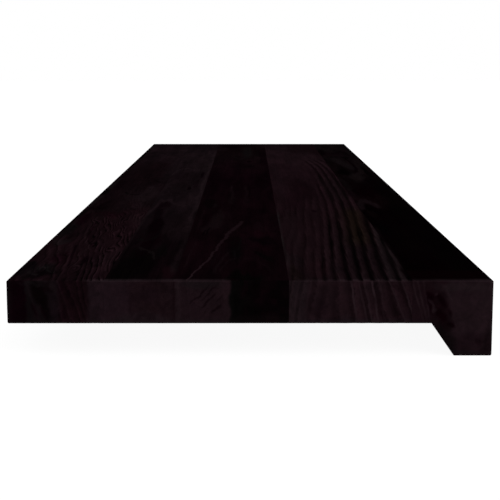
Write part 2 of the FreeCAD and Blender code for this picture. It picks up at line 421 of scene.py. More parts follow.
def figure_back(w):
    """Wavy rings near the end, crowded at the joint, and worn blotches along the back edge."""
    w.along(
        (0, (16.2, 7.2, 10.1)), (0.2, (16, 7.2, 10)), (0.28, (15.6, 7, 9.6)), (0.36, (15, 8.4, 10.4)),
        (0.5, (12.4, 5.8, 8)), (0.66, (13.6, 6.8, 9)), (0.78, (16.4, 9.6, 12.2)),
        (0.93, (17.5, 10.5, 13.2)), (1, (12, 8, 9.8)),
    )
    w.dab((11, 4.4, 6.5), (-136, 0.36), (13, 0.08))
    w.dab((12, 5, 7), (-118, 0.56), (20, 0.08))
    w.dab((11.4, 5, 6.8), (-114, 0.68), (13, 0.035), 0.7)
    w.dab((19.5, 12.5, 15), (-100, 0.4), (9, 0.06), 0.7)
    w.dab((20.5, 10.8, 13.8), (-97, 0.24), (7, 0.03), 0.8)
    w.dab((16.5, 5, 8.8), (-122, 0.274), (12, 0.02), 0.8)
    w.dab((9.5, 2, 5), (-140, 0.234), (5, 0.03), 0.85)
    w.dab((6.4, 5, 5.4), (-144.5, 0.195), (7, 0.022), 0.8)
    w.dab((15.5, 11, 12.6), (-140, 0.152), (7, 0.014), 0.8)
    w.dab((19, 9, 12), (-143, 0.082), (7, 0.035))
    w.dab((12, 3.4, 6.5), (-129, 0.062), (6, 0.02), 0.8)
    w.dab((10.5, 7.2, 8.5), (-135, 0.02), (10, 0.018), 0.8)
    w.dab((6, 4, 5), (-145, 0.032), (5, 0.012), 0.8)
    w.dab((6, 1, 3.5), (-111.4, 0.066), (2.4, 0.013), 0.85)
    w.dab((6, 2.6, 4), (-131.5, 0.005), (9, 0.012), 0.9)
    w.dab((6.4, 2, 3.4), (-139, 0.325), (10, 0.014), 0.8)
    w.dab((8, 3, 4.8), (-141, 0.48), (9, 0.034), 0.75)
    w.dab((20.5, 12, 15), (-103, 0.315), (5, 0.025))
    w.dab((24, 12.6, 16.4), (-96.5, 0.075), (6, 0.035), 0.7)
    w.wash((17.4, 10.8, 13.4), 0.8 * rise(w.wt, -106, 14) * rise(w.wv, 0.44, 0.12))
    w.clouds(24, 12, 66, 0.12)
    w.stroke((20, 10, 13), 0.8, 0.8, (-131, 0.12), (-127, 0.08), (-123, 0.04))
    w.stroke((6.5, 1.6, 3.8), 0.9, 0.85, (-127.5, 0.118), (-126, 0.09), (-121, 0.045))
    hook = (-129, 0.24), (-130, 0.2), (-124, 0.15), (-116.5, 0.11), (-119, 0.08)
    w.stroke((21, 11.5, 14.5), 0.8, 0.8, *hook)
    w.stroke((8.5, 2.2, 4.6), 0.7, 0.8, (-126.5, 0.23), (-127.5, 0.2), (-121.5, 0.15), (-114.5, 0.112))
    w.stroke((20, 11, 14), 0.7, 0.7, (-119.6, 0.08), (-117, 0.055), (-110.7, 0.035))
    w.stroke((17, 14, 15), 0.6, 0.8, (-138, 0.034), (-133, 0.026), (-131, 0.012), (-126, 0.006))
    w.stroke((16, 12.5, 13.5), 0.5, 0.8, (-141, 0.018), (-137, 0.01), (-134, 0.003))
    w.stroke((19, 14, 15.5), 0.6, 0.7, (-130, 0.4), (-123, 0.408), (-119, 0.395))
    w.stroke((5, 2, 3), 0.7, 0.8, (-126, 0.418), (-117, 0.4), (-110, 0.405))
    w.stroke((19, 12.5, 15), 0.7, 0.6, (-113, 0.39), (-106, 0.402))
    w.stroke((6, 2.4, 3.6), 0.8, 0.7, (-102, 0.52), (-95, 0.5))
    w.stroke((16, 9.6, 12), 0.6, 0.7, (-146, 0.29), (-136, 0.283))
    rim = rise(w.wt, -141.5, -5) * rise(w.wv, 0.12, 0.1)
    notch = noise(21, (w.y, 56), (w.x, 9), (w.z, 8))
    w.wash((3.5, 3, 3), 0.85 * rim * smooth(notch * 3.5))
    w.wash((17, 13.5, 15), 0.75 * rim * smooth(-notch * 3.5))
    # Toward the far end the rings slide over to the back edge, and they crowd at the joint.
    slid = w.t + 0.09 * (w.y + HALF_LENGTH)
    crowded = rise(slid, -112, 10)
    ripple = rise(w.wv, 0.29, -0.045) * (0.3 + 0.7 * crowded)
    ripple *= smooth(0.7 + 1.9 * w.noise(25, 5, 26, 10))
    ripple *= 1 - 0.6 * rise(w.wv, 0.19, 0.06) * rise(w.wt, -110, 8)
    knots = eyes(w, 26, 14, (-142, -93), (0.02, 0.29), (2.4, 15))
    wiggle = 0.42 * w.noise(23, 5, 36, 14) + 0.16 * w.noise(17, 3.5, 17, 12)
    wiggle *= 1 + 0.7 * crowded * rise(w.v, 0.08, 0.1)
    rings = np.interp(slid, [-150, -113, -104, -60], [0, 4.6, 6.6, 19.8])
    w.ring = rings + 0.7 * w.noise(22, 10, 60, 40) + wiggle + 1.25 * knots
    streaky = smooth(w.noise(27, 7, 110, 9) * 2.5)
    streaky *= 0.24 - 0.17 * rise(w.wv, 0.28, 0.08)
    w.across_end(
        (-150, (14.5, 9, 11)), (-146, (9.4, 2, 5)), (-139.5, (9, 1.5, 4.5)), (-137.5, (13, 8, 10)),
        (-127, (13, 8, 10)), (-119, (15, 8.5, 11.5)), (-116, (16, 6, 9)), (-101, (16.5, 6.5, 9.5)),
        (-98.5, (24.5, 15, 19)), (-90, (25, 15.5, 19.5)),
    )
    w.blot((4.5, 1.8, 2.2), (-130, 39.5), (4.2, 9), 0.9, 20)
    w.blot((5.5, 2, 3), (-126, 30), (2.2, 7), 0.8, 24)
    w.blot((13, 9, 10.6), (-136.4, 37.5), (1.5, 9), 0.75, 15)
    w.blot((16, 8.6, 11.6), (-131.6, 25.6), (1.5, 5), 0.7, 32)
    w.blot((9, 2, 4), (-124.5, 44), (5, 3))
    w.blot((8, 1.5, 4), (-133.2, 29), (1.1, 4), 0.8, 26)
    w.blot((8, 1.5, 4), (-126.4, 26), (1.2, 6), 0.7, 26)
    w.blot((16, 12.5, 14), (-133, 45.4), (10, 1.1), 0.4)
    w.blot((20, 13.5, 16), (-121, 44), (1.5, 3), 0.7, 22)
    veiny = smooth(w.end_noise(29, 2.4, 6) * 2.6 - 0.2) * band(w.x, -119, -101, 2)
    w.wash_end((10, 2.4, 5.4), 0.6 * veiny)
    w.blot((21, 9, 12.6), (-105, 43.4), (5, 4), 0.5)
    w.end_clouds(28, 5, 0.1)
    w.end_veins((-138.4, 0.32, 0.06), (-118.4, 0.3, 0.08))
    w.set_line(0.08 + streaky + ripple, band(w.x, -119.5, -99, 2) * 0.34)


def figure_back_inner(w):
    """A black area and a dark tongue near the end, a pale arc round them, and a pale front edge."""
    w.along(
        (0, (8, 3, 4.6)), (0.2, (9.5, 4.5, 6.5)), (0.29, (15.5, 9.2, 11.8)), (0.42, (16.4, 10, 12.4)),
        (0.54, (15.5, 9, 11.4)), (0.62, (17, 10.6, 13)), (0.8, (18.8, 12, 14.5)),
        (0.9, (15.2, 9.4, 11.8)), (1, (10.5, 7.2, 8.8)),
    )
    w.clouds(34, 12, 60, 0.11)
    near_edge = rise(w.wt, -59, 10) * rise(w.wv, 0.28, 0.1)
    w.wash((20.5, 13.5, 16.2), 0.5 * near_edge * rise(w.wv, 0.9, -0.1))
    w.dab((3.6, 2.2, 2.4), (-77, 0.044), (13, 0.052), 0.9)
    w.dab((7, 1.2, 3), (-72, 0.14), (6, 0.03), 0.8)
    w.dab((15, 8.5, 10.8), (-57, 0.2), (11, 0.07), 0.9)
    w.dab((4.5, 4, 4), (-62, 0.09), (4, 0.018))
    w.dab((15, 4.6, 7.8), (-52, 0.03), (5.5, 0.022), 0.85)
    w.dab((20, 13.5, 15.6), (-49.4, 0.052), (2.8, 0.02), 0.6, 0.8)
    w.dab((9, 2.8, 5.2), (-80.5, 0.318), (7.5, 0.028), 0.9, 0.3)
    w.stroke((6.4, 1.4, 3.4), 4.6, 0.7, (-81, 0.28), (-76, 0.22), (-73.5, 0.15), (-75, 0.1))
    w.dab((13, 6.2, 8.8), (-78, 0.303), (5, 0.008), 0.75)
    w.dab((5.8, 1, 2.8), (-75.5, 0.222), (5.8, 0.036), 0.95, 0.25)
    w.dab((13.5, 7, 9.6), (-78, 0.56), (9, 0.045))
    w.dab((20.5, 12.8, 15.6), (-58, 0.335), (8, 0.03), 0.7)
    w.dab((6.5, 2, 4), (-63, 0.462), (2.2, 0.016), 0.95)
    w.dab((7, 2, 4.4), (-54.5, 0.57), (2, 0.03), 0.9)
    w.dab((10, 4, 6.2), (-57, 0.49), (2.4, 0.03))
    arc = (-91, 0.25), (-88.5, 0.3), (-84, 0.348), (-75, 0.354), (-66, 0.325), (-60, 0.31)
    w.stroke((21.5, 13.5, 16.5), 1.9, 0.85, *arc)
    w.stroke((22.5, 14.8, 17.8), 1.9, 0.85, (-90, 0.56), (-87, 0.625), (-78, 0.65), (-68, 0.635))
    w.stroke((21, 13.5, 16), 1, 0.6, (-76, 0.76), (-66, 0.785), (-58, 0.75))
    w.stroke((21, 13.5, 16), 0.9, 0.6, (-60, 0.4), (-57, 0.375), (-53, 0.362))
    w.stroke((11, 5.5, 7.6), 1, 0.6, (-84, 0.46), (-80, 0.43), (-70, 0.41))
    w.stroke((11, 5.5, 7.6), 1.2, 0.5, (-86, 0.72), (-74, 0.7), (-64, 0.72))
    w.stroke((17.5, 10.4, 12.8), 1.7, 0.6, (-50.5, 0.18), (-49, 0.13), (-48.4, 0.085))
    rim = rise(w.x, -87.6, -1.4) * band(w.wv, 0.05, 0.3, 0.06)
    w.wash((18, 11.4, 13.4), 0.65 * rim * (0.8 + 0.6 * noise(39, (w.y, 24))))
    w.stroke((17, 13, 13.6), 0.8, 0.55, (-79.5, 0.103), (-75, 0.1), (-69.5, 0.086), (-66, 0.068))
    w.stroke((9, 7.5, 7.5), 1, 0.5, (-84, 0.155), (-78, 0.15), (-70, 0.165))
    pale_places = [0.16, 0.22, 0.34, 0.42, 0.46, 0.6, 0.66, 0.72, 0.8, 0.96]
    pale = np.interp(w.wv, pale_places, [0, 0.85, 0.8, 0.8, 0.95, 1, 0.65, 0.75, 0.5, 0.1])
    pale_width = 2.3 * (1 + 0.5 * noise(37, (w.y, 34)))
    pale_line = 49.2 + 1.1 * noise(57, (w.y, 48))
    pale *= smooth(1.3 - np.abs(w.wt + pale_line) / pale_width)
    w.wash((26.5, 18, 21), 0.9 * pale * (0.9 + 0.4 * noise(35, (w.y, 40), (w.t, 8))))
    knots = eyes(w, 36, 7, (-88, -50), (0.02, 0.5), (4, 22))
    w.ring = curls(w, 31, 12, 15, 90, 0.7) + knots
    on_face = 0.16 + 0.08 * rise(w.wv, 0.34, -0.08)
    w.across_end(
        (-90, (25.6, 15.8, 20)), (-76, (25.8, 15.6, 19.8)), (-74, (23, 13, 16.5)), (-60, (22, 12, 15)),
        (-49, (22.5, 13, 16)), (-46.5, (17, 8, 11)),
    )
    w.blot((19, 10, 14), (-62, 38), (7, 5))
    w.blot((17.5, 12.5, 15), (-82, 22), (9, 2), 0.4)
    w.blot((26, 18, 21), (-67, 23.4), (15, 4), 0.8)
    blots = smooth(w.end_noise(32, 3, 3.6) * 2.2 - 0.3) * rise(w.x, -76, 4)
    w.wash_end((17, 8.5, 11.5), 0.55 * blots)
    w.end_clouds(38, 6, 0.035)
    w.set_line(on_face, 0.06)


# The middle stave's scar: its places across the tread at shares of the length, and where it ends.
SCAR_SHARES = [0, 0.035, 0.09, 0.105, 0.158, 0.195, 0.229]
SCAR_PLACES = [-39.3, -33, -25.5, -24, -18, -12, -5.6]
SCAR_LENGTH = 0.2335


def figure_middle(w):
    """A dark board with faint patches, slanted dashes on its end and a long pale scar."""
    w.along(
        (0, (9.8, 3, 5.2)), (0.28, (9.8, 3, 5.2)), (0.45, (8.8, 2.4, 4.8)), (0.55, (9, 2.2, 4.8)),
        (0.66, (10.4, 3.6, 6)), (0.8, (11.8, 5.6, 7.2)), (0.9, (9.8, 4, 5.4)), (1, (7, 3.4, 4.4)),
    )
    w.clouds(46, 13, 66, 0.15)
    w.dab((12.5, 5, 7.6), (-20, 0.225), (6, 0.05))
    w.dab((15.5, 8.8, 10.8), (-27.5, 0.232), (5.5, 0.038), 0.85, 0.35)
    w.dab((12, 4.6, 7.2), (-12, 0.19), (4, 0.03))
    w.dab((16, 8.6, 11.2), (-34.6, 0.2), (5, 0.03))
    w.dab((15.5, 8.8, 11), (-40, 0.93), (8, 0.05))
    w.dab((6.5, 1.2, 3.2), (-37, 0.25), (3, 0.03), 0.7)
    w.dab((4.2, 2, 2.6), (-36.8, 0.334), (5.4, 0.012), 0.75, 0.7)
    w.dab((15, 10, 11.6), (-31, 0.32), (2, 0.007), 0.6, 0.7)
    w.dab((12.5, 6, 8.2), (-15.7, 0.362), (3.8, 0.026), 0.85, 0.35)
    w.dab((11.5, 4.6, 7), (-2, 0.36), (3, 0.035))
    w.dab((4.4, 1.4, 2.6), (10.5, 0.285), (5.5, 0.02), 0.7, 0.8)
    w.dab((13.5, 5, 8), (9, 0.205), (5, 0.02), 0.7)
    w.dab((14.5, 3.6, 7), (8.4, 0.174), (6.4, 0.01), 0.8, 0.6)
    w.dab((4, 1.6, 2.8), (8, 0.147), (10, 0.009), 0.75, 0.7)
    w.dab((14, 3.4, 6.8), (8, 0.12), (6, 0.012), 0.75, 0.6)
    w.dab((4.6, 3, 3.4), (9, 0.085), (6, 0.01), 0.8)
    w.dab((4.6, 3.6, 4), (-9, 0.1), (4.6, 0.038), 0.75, 0.7)
    w.dab((6, 1, 3), (0, 0.717), (3.5, 0.014), 0.9)
    w.dab((5.5, 1.2, 2.6), (4, 0.03), (10, 0.014))
    w.dab((3.4, 2.6, 2.6), (-3, 0.01), (12, 0.016), 0.95)
    w.dab((11.5, 9, 9.5), (-3, 0.86), (7, 0.09), 0.8)
    w.dab((5, 1.2, 2.4), (-22, 0.965), (19, 0.014), 0.9)
    w.dab((4.5, 0.8, 2), (12, 0.5), (6, 0.05), 0.5)
    w.stroke((14, 7, 9.4), 1.6, 0.8, (-19, 0.46), (-16, 0.42), (-15.5, 0.37))
    w.stroke((13.4, 6, 8.6), 1.6, 0.75, (-4, 0.465), (-2.2, 0.42), (-3.5, 0.38))
    w.stroke((11.5, 8.5, 9.5), 0.6, 0.6, (-10.5, 0.08), (-10, 0.115))
    w.stroke((10.5, 8, 8.6), 0.6, 0.6, (-6.6, 0.12), (-5.8, 0.155))
    w.stroke((15, 8.5, 10.8), 0.9, 0.65, (-23, 0.05), (-17.5, 0.075), (-15, 0.105))
    w.stroke((14, 7.4, 9.8), 0.8, 0.6, (-19, 0.036), (-13.5, 0.055), (-10, 0.07))
    w.stroke((12.5, 5.4, 8), 0.8, 0.6, (-25, 0.06), (-21, 0.1), (-20.5, 0.13))
    w.stroke((3.4, 0.6, 1.8), 0.8, 0.85, (-37, 0.158), (-34.6, 0.19))
    w.stroke((3.4, 0.6, 1.8), 0.8, 0.85, (-33.8, 0.166), (-31.6, 0.2))
    w.stroke((14, 6.4, 9), 0.8, 0.6, (-43, 0.2), (-41, 0.26), (-40, 0.3))
    w.stroke((14.5, 6.6, 9.2), 0.8, 0.6, (-42, 0.05), (-40.5, 0.09), (-41, 0.13))
    w.stroke((13, 5.6, 8), 1, 0.5, (14, 0.03), (10, 0.05), (3, 0.06), (-3, 0.055))
    w.stroke((13, 8.4, 10), 0.8, 0.6, (-22, 0.775), (-12, 0.765), (-6, 0.78))
    w.wash((8, 1.6, 4.2), 0.8 * band(w.wt, 13, 25, 3) * band(w.wv, 0.62, 0.93, 0.1))
    w.dab((16, 8.4, 11), (21, 0.95), (5, 0.03))
    knots = eyes(w, 47, 8, (-44, 20), (0.02, 0.6), (4.2, 20))
    w.ring = curls(w, 41, 13, 16, 110, 0.7) + 0.8 * knots
    on_face = 0.08 * rise(w.wv, 0.66, -0.2) + 0.12
    w.across_end(
        (-46.5, (22, 12, 15)), (-45.5, (27.5, 18, 21.5)), (-43.5, (27, 17, 20.5)),
        (-42, (23.5, 14, 17.5)), (-13.4, (24.5, 14.5, 18)), (-11.6, (6, 5, 5.2)), (-3, (5.6, 3.8, 4.1)),
        (4, (6.2, 2.5, 3.6)), (12, (7.6, 2.4, 4)), (24, (6.6, 2.8, 4.2)),
    )
    w.blot((21, 15.5, 17.5), (-30, 45), (13, 2.6), 0.75)
    slant = (w.wx + 42) * 0.7 - (w.wz - 34) * 0.72
    along_dash = (w.wx + 42) * 0.72 + (w.wz - 34) * 0.7
    broken = smooth(noise(45, (slant, 3.4), (along_dash, 9)) * 3 + 0.5)
    dashes = smooth(np.sin(slant * 1.8) * 2.6 - 0.9) * broken
    w.wash_end((13.5, 5.5, 8.5), 0.85 * dashes * band(w.x, -41, -15, 5) * band(w.z, 25, 46, 4))
    flecks = smooth(w.end_noise(48, 3.8, 6.5) * 2.2 - 0.3) * rise(w.x, -8, 5)
    w.wash_end((11, 3, 5.6), 0.6 * flecks)
    sooty = smooth(w.end_noise(49, 5, 5) * 2 - 0.1) * rise(w.x, -11, 2)
    w.wash_end((2.4, 1.8, 1.8), 0.5 * sooty)
    w.blot((12, 6.6, 8), (6, 22.6), (16, 3), 0.5)
    w.end_clouds(50, 6, 0.05)
    w.end_veins((-44.2, 0.02, 0.15), (-38.9, 0.1, 0.2))
    # The scar starts at the near arris, runs slantwise to the front and ends at SCAR_LENGTH.
    run = np.interp(w.v, SCAR_SHARES, SCAR_PLACES)
    wiggle = 1.2 * noise(43, (w.y, 15)) + 0.8 * noise(44, (w.y, 6))
    scar = w.t - run - wiggle * smooth(w.v / 0.02)
    scar_on = np.interp(w.v, [0, 0.04, 0.12, 0.22], [0.78, 0.54, 0.4, 0.36])
    scar_on *= rise(w.v, SCAR_LENGTH, -0.004) * (1 - w.end)
    girth = np.interp(w.v, [0, 0.04, 0.12, 0.19, 0.23], [1, 1.3, 1.8, 3.2, 2.6])
    w.vein += (scar / girth - w.vein) * (1 - w.end)
    w.vein_on = np.maximum(w.vein_on, scar_on)
    w.set_line(on_face, 0.1)


# Where each ridge of the front inner stave meets the near arris, as a share across the tread.
RIDGES = [0.575, 0.597, 0.618, 0.642, 0.664, 0.687, 0.715, 0.739, 0.765, 0.794, 0.818, 0.842]
# How far the ridges drift to the front as they go along, and how they turn back past FALL_START.
RIDGE_DRIFT = 0.068
DRIFT_PEAK = 0.46
RIDGE_FALL = 0.035
FALL_START, FALL_RUN = 0.55, 0.2
# How the ridges fade toward the far end.
FADE_SHARES = [0, 0.12, 0.22, 0.35, 0.5, 0.66, 0.73, 0.77]
FADE_LEVELS = [1, 0.96, 0.8, 0.7, 0.66, 0.58, 0.35, 0.06]


def figure_front_inner(w):
    """Bold ridges that arch along the front half, with an olive stain, and a calm back half."""
    w.along(
        (0, (17.8, 9.2, 12)), (0.25, (18.6, 9.4, 12.2)), (0.42, (19.5, 9.6, 13)),
        (0.6, (20.5, 10.4, 14)), (0.7, (22.6, 12.6, 16)), (0.84, (21.6, 12.6, 15.8)),
        (0.95, (18.6, 11, 13.6)), (1, (14, 8.5, 10.6)),
    )
    w.dab((15, 6, 9.2), (54, 0.44), (12, 0.08), 0.85)
    w.dab((15.5, 6.4, 9.6), (42, 0.35), (9, 0.05))
    w.dab((8, 2, 4.5), (57.5, 0.285), (2.2, 0.014), 0.8)
    w.dab((21, 11.5, 15), (31, 0.52), (6, 0.16))
    w.dab((19, 12, 14.4), (32, 0.18), (6, 0.08), 0.3)
    w.dab((17, 12, 14), (31, 0.055), (5, 0.022), 0.4)
    w.wash((15, 6.6, 9.6), 0.6 * rise(w.wt, 86, 10) * rise(w.wv, 0.68, 0.12))
    w.wash((7, 3, 4), 0.85 * rise(w.wt, 93, 4) * band(w.wv, 0.34, 0.55, 0.05))
    w.wash((12.5, 5, 7.2), 0.6 * rise(w.wt, 52, 16) * rise(w.wv, 0.8, 0.08))
    w.wash((15, 8.4, 10.4), 0.8 * band(w.wt, 74, 100, 5) * band(w.wv, 0.3, 0.62, 0.1))
    w.wash((13, 7, 8.8), 0.9 * rise(w.wt, 58, 14) * rise(w.wv, 0.24, -0.14))
    w.dab((12, 7, 9), (54.6, 0.03), (5, 0.03), 0.4)
    w.dab((23, 11, 14.6), (44, 0.04), (7, 0.035), 0.5)
    share = (w.t + 0.7 * w.noise(51, 9, 40, 10) + HALF_WIDTH) / (2 * HALF_WIDTH)
    v = np.clip(w.v, 0, 1)
    drift = RIDGE_DRIFT * np.sin(np.pi / 2 * np.minimum(v / DRIFT_PEAK, 1) ** 1.14)
    drift -= RIDGE_FALL * (np.maximum(v - FALL_START, 0) / FALL_RUN) ** 3
    home = share - drift
    # Narrower rings go on past the first and the last ridge.
    count = len(RIDGES)
    w.ring = 0.5 + np.interp(home, [0.2, *RIDGES, 1.2], [-18, *range(count), count + 16])
    w.clouds(53, 12, 80, 0.08)
    olive = np.exp(-(((home - 0.748) / 0.03) ** 2)) * band(v, 0.1, 0.325, 0.05)
    w.wash((16.5, 11.4, 6.8), 0.7 * olive)
    outer = band(home, 0.784, 0.83, 0.008) * rise(v, 0.3, -0.1)
    w.wash((17.5, 12.4, 14), 0.65 * outer)
    w.wash((5, 1.4, 2.4), 0.85 * rise(w.x, 96.2, 1.4) * rise(w.v, 0.05, -0.025))
    w.dab((16.5, 11, 9.5), (28.5, 0.018), (3.4, 0.016), 0.5)
    speckle = smooth(w.top_noise(52, 1.8, 7) * 3) * band(w.t, 25, 33, 2)
    w.wash((9.5, 4.5, 5), 0.5 * speckle * rise(v, 0.045, -0.02))
    grey_edge = rise(w.wt, 27, -1.3) * band(v, 0.02, 0.3, 0.05)
    grey_edge *= 0.75 + 0.5 * noise(55, (w.y, 60))
    w.wash((22, 18, 19), 0.8 * grey_edge)
    left_end = 0.632 + 0.016 * rise(v, 0.05, 0.1) + 0.03 * rise(v, 0.4, 0.2)
    left = smooth((left_end + 0.01 - home) / 0.03)
    w.ring += 0.4 * left * w.noise(58, 9, 200, 14)
    base = 0.3 * rise(v, 0.2, -0.1)
    bold = base + smooth((home - left_end) / 0.025) * (1 - base)
    bold = np.maximum(bold, 0.1 + 0.28 * rise(v, 0.46, -0.14))
    fade = np.interp(v, FADE_SHARES, FADE_LEVELS)
    on_face = bold * fade * (0.88 + 0.3 * w.top_noise(54, 9, 60))
    on_face *= 1 - 0.8 * left * smooth(0.4 - 2 * w.top_noise(60, 7, 80))
    w.across_end(
        (24, (22.5, 15, 17.5)), (34, (22.8, 15, 18)), (37, (24, 14, 17.5)), (62, (23.6, 13.3, 16.6)),
        (84, (22.6, 12.4, 15.6)), (100, (21.6, 11.6, 15)),
    )
    w.blot((17, 8.5, 12), (43, 30), (4.4, 6))
    w.blot((15, 7, 9.5), (57, 23.6), (9, 1.4), 0.55)
    w.blot((14, 5.5, 8.5), (90, 43), (6, 1.6), 0.6, -30)
    w.blot((16, 7, 10), (95, 37), (4, 5), 0.5)
    w.blot((16, 9.6, 12), (77, 43.4), (6, 3), 0.5)
    w.blot((24.5, 17, 20), (60, 23), (5, 3), 0.5)
    w.end_clouds(56, 4.5, 0.07)
    w.end_veins(
        (27, -0.14, 0.35), (30.4, -0.16, 0.35), (33.6, -0.16, 0.28), (37.6, -0.14, 0.22),
        (42.4, -0.12, 0.12), (62.3, 0.14, 0.75), (67, 0.2, 0.4), (70.4, 0.19, 0.6), (75, 0.17, 0.85),
        (79.4, 0.16, 0.25), (85.4, 0.42, 0.35), (93, 0.36, 0.6),
    )
    w.set_line(on_face, 0.22 + 0.2 * rise(w.x, 58, 6))


def figure_nosing(w):
    """Near black, with pale curls at its far part and a knotty blot beside the lip on its end."""
    w.along(
        (0, (2.4, 0.5, 1.1)), (0.29, (2.6, 0.6, 1.3)), (0.34, (7.6, 2.8, 3.8)),
        (0.375, (7.4, 2.4, 3.6)), (0.41, (4.4, 0.7, 1.7)), (0.45, (4.4, 0.7, 1.7)), (0.5, (6, 2.4, 3.2)),
        (0.7, (8.6, 4.4, 5.4)), (0.77, (9, 5, 6.2)), (0.84, (7, 2.8, 4.2)), (0.91, (10.6, 6.8, 7.8)),
        (1, (8.6, 6, 6.6)),
    )
    w.clouds(66, 12, 70, 0.16)
    w.dab((4.2, 2.6, 2.4), (118, 0.16), (13, 0.05), 0.4)
    w.dab((1.2, 1.4, 1.8), (106, 0.2), (4, 0.03), 0.5)
    w.dab((7.5, 3.4, 4.2), (107.5, 0.26), (4, 0.02))
    w.dab((9.5, 5, 6.2), (112, 0.535), (5, 0.02))
    w.dab((13.5, 7.4, 9.2), (105.5, 0.95), (5, 0.03), 0.7)
    w.dab((11, 4.4, 7), (103, 0.41), (3.6, 0.05), 0.8)
    w.dab((15, 6, 9), (101.5, 0.365), (2.6, 0.02), 0.8)
    w.dab((3.5, 0.7, 1.5), (111, 0.318), (5, 0.014), 0.9)
    w.wash((3, 1.8, 2), 0.7 * rise(w.wt, 124, 10) * rise(w.wv, 0.57, -0.12))
    w.stroke((11, 7, 8), 3.4, 0.6, (101.5, 0.53), (104.5, 0.46))
    w.stroke((14.5, 10, 11.4), 5.6, 0.92, (114.5, 0.735), (121, 0.7), (125, 0.65))
    w.stroke((13.2, 8.4, 9.4), 4, 0.9, (142, 0.72), (135, 0.63), (129, 0.575))
    w.dab((15, 10, 11), (123, 0.54), (7.5, 0.045), 0.9)
    w.stroke((4.5, 0.7, 2), 1.4, 0.9, (129, 0.76), (133, 0.69), (130.5, 0.63), (125, 0.6))
    w.stroke((2, 1.2, 1.4), 1.6, 0.85, (126, 0.765), (134, 0.755))
    w.dab((2.4, 1.2, 1.5), (112, 0.595), (7.5, 0.034), 0.95, 0.3)
    w.dab((4, 1, 2), (132, 0.5), (8, 0.022), 0.7)
    w.dab((4.6, 1, 2.2), (104, 0.86), (5, 0.035), 0.85)
    w.dab((2.4, 1.2, 1.5), (139.5, 0.6), (3, 0.05), 0.8)
    w.dab((8.5, 7, 7.2), (146, 0.67), (3, 0.03), 0.7)
    w.dab((8, 6.6, 6.8), (146, 0.44), (3, 0.022), 0.7)
    w.dab((9.6, 7.4, 8), (144, 0.84), (5, 0.03), 0.7)
    hook = (102, 0.29), (104, 0.318), (107.5, 0.338), (112, 0.344), (117, 0.338)
    w.stroke((15.6, 9.4, 11.6), 3, 0.9, *hook)
    # The ridges of the stave behind run on over the joint for a short way.
    strip = rise(w.wt, 104, -3) * band(w.v, 0.035, 0.22, 0.04)
    w.wash((10.5, 5.4, 7), 0.65 * strip)
    w.wash((6, 1, 2), 0.7 * rise(w.v, 0.034, -0.008))
    knots = eyes(w, 67, 6, (104, 144), (0.3, 0.98), (5, 26))
    w.ring = curls(w, 61, 13, 14, 100, 0.8) + 1.1 * knots
    w.across_end(
        (100, (21, 11, 14.5)), (106, (21, 11, 14.5)), (109, (17.5, 8, 11.4)), (120, (18.4, 9, 12.4)),
        (124.5, (25.4, 15.8, 19.4)), (150, (28, 18, 21.6)),
    )
    w.blot((14.5, 4.8, 8), (116.2, 31), (5, 10), 0.85, 22, 0.5)
    w.blot((11.4, 7, 8.4), (121.6, 10.5), (4.8, 12), 0.9, 34)
    w.blot((13, 4, 6.8), (120.4, 20.6), (5, 3), 0.8, -20, 0.5)
    w.blot((8.6, 0.6, 3.2), (111, 37.8), (2, 3.4), 0.9, 24, 0.5)
    for colour, place, size, turn in (
        ((9, 1, 3.6), (110.8, 31.5), (1.2, 5.5), 22),
        ((9, 1, 3.6), (117.8, 36.4), (2, 4.2), 34),
        ((9.4, 1, 3.8), (119.6, 33), (1.6, 3.4), 30),
        ((8.6, 0.4, 2.8), (116.9, 26.8), (1.9, 3.6), 32),
        ((9, 0.6, 3), (118.8, 24), (2.3, 2.6), 30),
    ):
        w.blot(colour, place, size, 0.85, turn, 0.5)
    w.blot((11.5, 1.6, 5), (123.2, 27.5), (1, 2.4), 0.7, 10, 0.5)
    w.blot((9.5, 0.8, 3.4), (123.8, 19.7), (2.6, 1.3), 0.8, -14, 0.5)
    w.blot((24.5, 15, 18.5), (112.5, 32), (0.8, 4.6), 0.9, 27)
    w.blot((24, 15.5, 18.5), (113.9, 28.6), (1.8, 1.7), 0.85)
    w.blot((24, 15, 18), (115, 39.4), (1.2, 1.1), 0.8)
    w.blot((29, 19.5, 23), (122.8, 39.4), (1.1, 5.4), 0.8, 26)
    w.blot((21, 11.4, 15), (140, 6), (13, 8.5), 0.8, edge=0.3)
    w.blot((16, 6, 10), (141.5, 9.6), (2.2, 2.2))
    w.blot((15.5, 8, 10.6), (147.4, 10), (2.8, 8), 0.7)
    w.blot((29, 21, 23.6), (131, 43.8), (17, 2.6))
    w.blot((30, 19, 23), (144, 27), (3.6, 4.6), 0.7, -40)
    w.blot((19, 13.5, 16), (133, 2.2), (9, 1.6))
    w.end_clouds(68, 5, 0.07)
    w.end_veins((99.5, 0.3, 0.35), (103, 0.25, 0.35), (106.8, 0.16, 0.3))
    w.set_line(0.08 + 0.14 * rise(w.wv, 0.31, 0.05), 0.1)


def linear(display):
    """Display values from 0 to 255 as the linear values that a shader reads."""
    c = np.maximum(np.asarray(display, float), 0) / 255
    return np.where(c <= 0.04045, c / 12.92, ((c + 0.055) / 1.055) ** 2.4)


